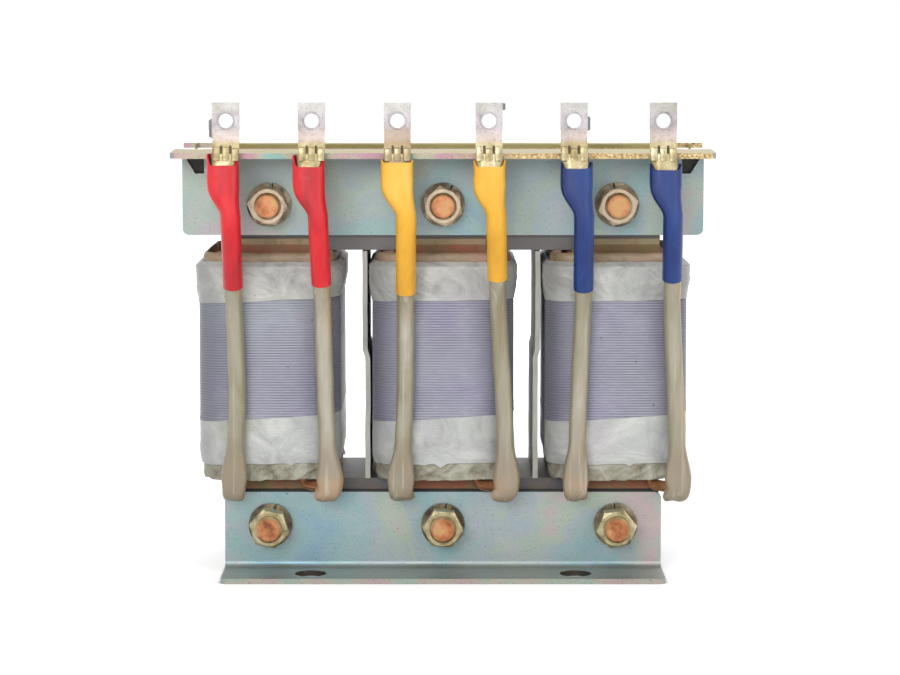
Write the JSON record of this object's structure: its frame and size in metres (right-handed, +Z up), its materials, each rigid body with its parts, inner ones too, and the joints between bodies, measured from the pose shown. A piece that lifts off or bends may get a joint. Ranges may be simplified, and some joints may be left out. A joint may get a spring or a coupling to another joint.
{
  "type": "detuned reactor",
  "caption": "Three-phase detuned reactor: coils on a gapped laminated core, clamped by bent zinc-plated brackets with feet, front leads ending in lugs.",
  "frame": {"origin": "centre of the four foot holes, on the plane that the feet stand on", "axes": "+Z up, -Y towards the front with the leads, +X to the right as seen from the front"},
  "size_m": [0.249, 0.1341, 0.216],
  "materials": {
    "core_steel": "matt, oxidised laminations",
    "gap_board": "matt",
    "zinc_plate": "satin, blue-white to yellow zinc",
    "black_board": "matt",
    "bolt_steel": "satin, coppery zinc",
    "nut_steel": "satin, yellow zinc",
    "washer_steel": "satin",
    "tube_plastic": "matt",
    "pressboard": "matt",
    "winding_copper": "enamelled",
    "layer_paper": "matt",
    "pearl_tape": "satin",
    "lavender_tape": "matt",
    "skirt_paper": "matt",
    "barrier_board": "matt",
    "lead_copper": "satin",
    "cream_sleeve": "satin, slightly translucent",
    "red_shrink": "satin",
    "yellow_shrink": "satin",
    "blue_shrink": "satin",
    "tinned_copper": "satin"
  },
  "bodies": {
    "root": {"lower_yoke": "core_steel", "upper_yoke": "core_steel", "gap_spacers": "gap_board", "core_leg_left": "core_steel", "core_leg_middle": "core_steel", "core_leg_right": "core_steel", "front_lower_bracket": "zinc_plate", "back_lower_bracket": "zinc_plate", "front_upper_bracket": "zinc_plate", "back_upper_bracket": "zinc_plate", "lower_insulation_strips": "black_board", "upper_insulation_strips": "black_board", "through_bolts": "bolt_steel", "hex_nuts": "nut_steel", "spring_washers": "washer_steel", "bolt_insulation_tubes": "tube_plastic", "barrier_sheets": "barrier_board", "coil_former_left": "pressboard", "coil_winding_left": "winding_copper", "layer_insulation_left": "layer_paper", "middle_band_left": "lavender_tape", "end_tapes_left": "pearl_tape", "paper_skirt_left": "skirt_paper", "coil_former_middle": "pressboard", "coil_winding_middle": "winding_copper", "layer_insulation_middle": "layer_paper", "middle_band_middle": "lavender_tape", "end_tapes_middle": "pearl_tape", "paper_skirt_middle": "skirt_paper", "coil_former_right": "pressboard", "coil_winding_right": "winding_copper", "layer_insulation_right": "layer_paper", "middle_band_right": "lavender_tape", "end_tapes_right": "pearl_tape", "paper_skirt_right": "skirt_paper", "lead_conductor_left_start": "lead_copper", "lead_sleeve_left_start": "cream_sleeve", "heat_shrink_left_start": "red_shrink", "terminal_lug_left_start": "tinned_copper", "lead_conductor_left_finish": "lead_copper", "lead_sleeve_left_finish": "cream_sleeve", "heat_shrink_left_finish": "red_shrink", "terminal_lug_left_finish": "tinned_copper", "lead_conductor_middle_start": "lead_copper", "lead_sleeve_middle_start": "cream_sleeve", "heat_shrink_middle_start": "yellow_shrink", "terminal_lug_middle_start": "tinned_copper", "lead_conductor_middle_finish": "lead_copper", "lead_sleeve_middle_finish": "cream_sleeve", "heat_shrink_middle_finish": "yellow_shrink", "terminal_lug_middle_finish": "tinned_copper", "lead_conductor_right_start": "lead_copper", "lead_sleeve_right_start": "cream_sleeve", "heat_shrink_right_start": "blue_shrink", "terminal_lug_right_start": "tinned_copper", "lead_conductor_right_finish": "lead_copper", "lead_sleeve_right_finish": "cream_sleeve", "heat_shrink_right_finish": "blue_shrink", "terminal_lug_right_finish": "tinned_copper"}
  },
  "joints": []
}
